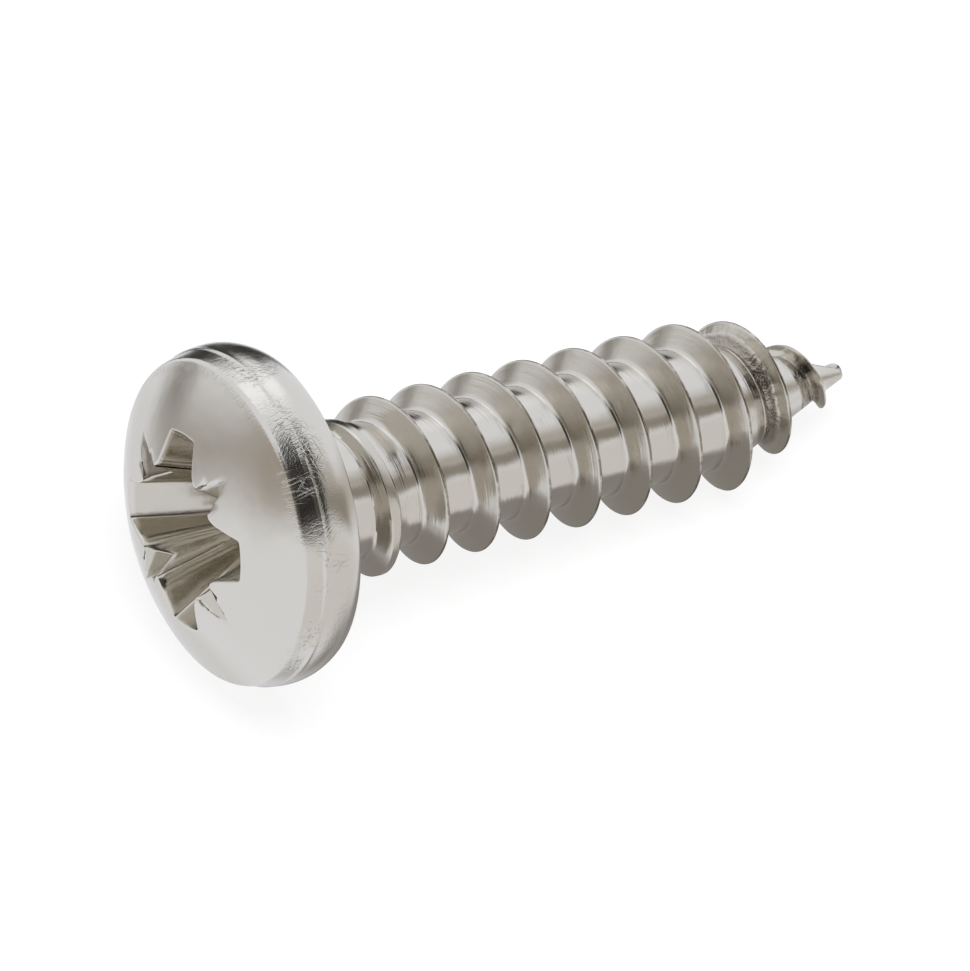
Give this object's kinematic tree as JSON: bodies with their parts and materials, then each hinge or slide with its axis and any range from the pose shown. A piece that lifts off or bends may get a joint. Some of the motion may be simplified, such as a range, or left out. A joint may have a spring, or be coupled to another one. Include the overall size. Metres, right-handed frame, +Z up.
{
  "type": "self tapping screw",
  "caption": "Pan head tapping screw with a cross recess, a coarse right-hand thread up to the head and a sharp gimlet point, lying on its side.",
  "frame": {"origin": "bottom centre of the bounding box, on the ground the screw lies on", "axes": "+X is level, from the head towards the point; the screw's own axis dips below it by the angle at which the head's side and the thread both touch the ground; +Z is up"},
  "size_m": [0.0187, 0.008, 0.0079],
  "materials": {
    "screw_steel": "satin"
  },
  "bodies": {
    "root": {"screw": "screw_steel"}
  },
  "joints": []
}
